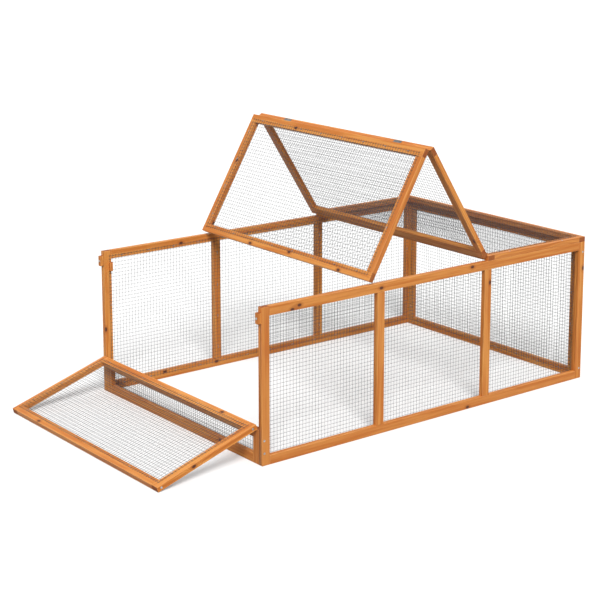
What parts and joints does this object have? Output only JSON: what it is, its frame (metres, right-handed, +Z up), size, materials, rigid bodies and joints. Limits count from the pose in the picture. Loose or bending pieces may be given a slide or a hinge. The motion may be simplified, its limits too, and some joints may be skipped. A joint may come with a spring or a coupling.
{
  "type": "chicken run",
  "caption": "Low netted timber run for hens with a drop-down end door and a hinged lid that folds up into a ridge.",
  "frame": {"origin": "on the ground, under the middle of the object's box as it rests with the door lowered", "axes": "+X from the door end towards the back, +Y from the near side to the far side, +Z up"},
  "size_m": [1.814, 0.94, 0.9294],
  "materials": {
    "timber": "orange-brown stained softwood",
    "netting": "galvanised wire",
    "ironmongery": "zinc plated"
  },
  "bodies": {
    "frame": {"back_bottom_rail": "timber", "back_net": "netting", "back_post_far": "timber", "back_post_near": "timber", "back_top_rail": "timber", "button_screws": "ironmongery", "door_hinge_fixed_leaves": "ironmongery", "door_hinge_pins": "ironmongery", "door_stop_far": "timber", "door_stop_near": "timber", "far_bottom_rail": "timber", "far_front_post": "timber", "far_mid_post_front": "timber", "far_mid_post_rear": "timber", "far_net": "netting", "far_rear_post": "timber", "far_top_rail": "timber", "frame_screws": "ironmongery", "lid_rear_cross_rail_front": "timber", "lid_rear_cross_rail_rear": "timber", "lid_rear_net": "netting", "lid_rear_side_rail_far": "timber", "lid_rear_side_rail_near": "timber", "near_bottom_rail": "timber", "near_front_post": "timber", "near_mid_post_front": "timber", "near_mid_post_rear": "timber", "near_net": "netting", "near_rear_post": "timber", "near_top_rail": "timber", "strip_bottom_rail": "timber", "strip_net": "netting", "strip_post_far": "timber", "strip_post_near": "timber", "strip_top_rail": "timber", "valley_hinge_fixed_leaves": "ironmongery", "valley_hinge_pins": "ironmongery"},
    "door": {"door_free_rail": "timber", "door_hinge_moving_leaves": "ironmongery", "door_hinge_rail": "timber", "door_net": "netting", "door_screws": "ironmongery", "door_side_rail_far": "timber", "door_side_rail_near": "timber"},
    "lid_middle": {"lid_middle_cross_rail_front": "timber", "lid_middle_cross_rail_rear": "timber", "lid_middle_net": "netting", "lid_middle_side_rail_far": "timber", "lid_middle_side_rail_near": "timber", "valley_hinge_moving_leaves": "ironmongery", "ridge_hinge_fixed_leaves": "ironmongery", "ridge_hinge_pins": "ironmongery"},
    "lid_front": {"lid_front_cross_rail_front": "timber", "lid_front_cross_rail_rear": "timber", "lid_front_net": "netting", "lid_front_side_rail_far": "timber", "lid_front_side_rail_near": "timber", "ridge_hinge_moving_leaves": "ironmongery"},
    "button_near": {"turn_button_near": "timber"},
    "button_far": {"turn_button_far": "timber"}
  },
  "joints": [
    {"name": "door_hinge", "type": "hinge", "parent": "frame", "child": "door", "pos_m": [-0.53405, 0, 0.11575], "axis": [0, 1, 0], "range_deg": [0, 107.6]},
    {"name": "valley_hinge", "type": "hinge", "parent": "frame", "child": "lid_middle", "pos_m": [0.42395, 0, 0.5283], "axis": [0, -1, 0], "range_deg": [0, 57.4]},
    {"name": "ridge_hinge", "type": "hinge", "parent": "lid_middle", "child": "lid_front", "pos_m": [0.14806, 0, 0.9193], "axis": [0, 1, 0], "range_deg": [0, 117.7]},
    {"name": "near_button_turn", "type": "hinge", "parent": "frame", "child": "button_near", "pos_m": [-0.53955, -0.461, 0.474], "axis": [1, 0, 0], "range_deg": [0, 90]},
    {"name": "far_button_turn", "type": "hinge", "parent": "frame", "child": "button_far", "pos_m": [-0.53955, 0.461, 0.474], "axis": [-1, 0, 0], "range_deg": [0, 90]}
  ],
  "couplings": [
    {"joint": "ridge_hinge", "follows": "valley_hinge", "ratio": 2.05}
  ]
}
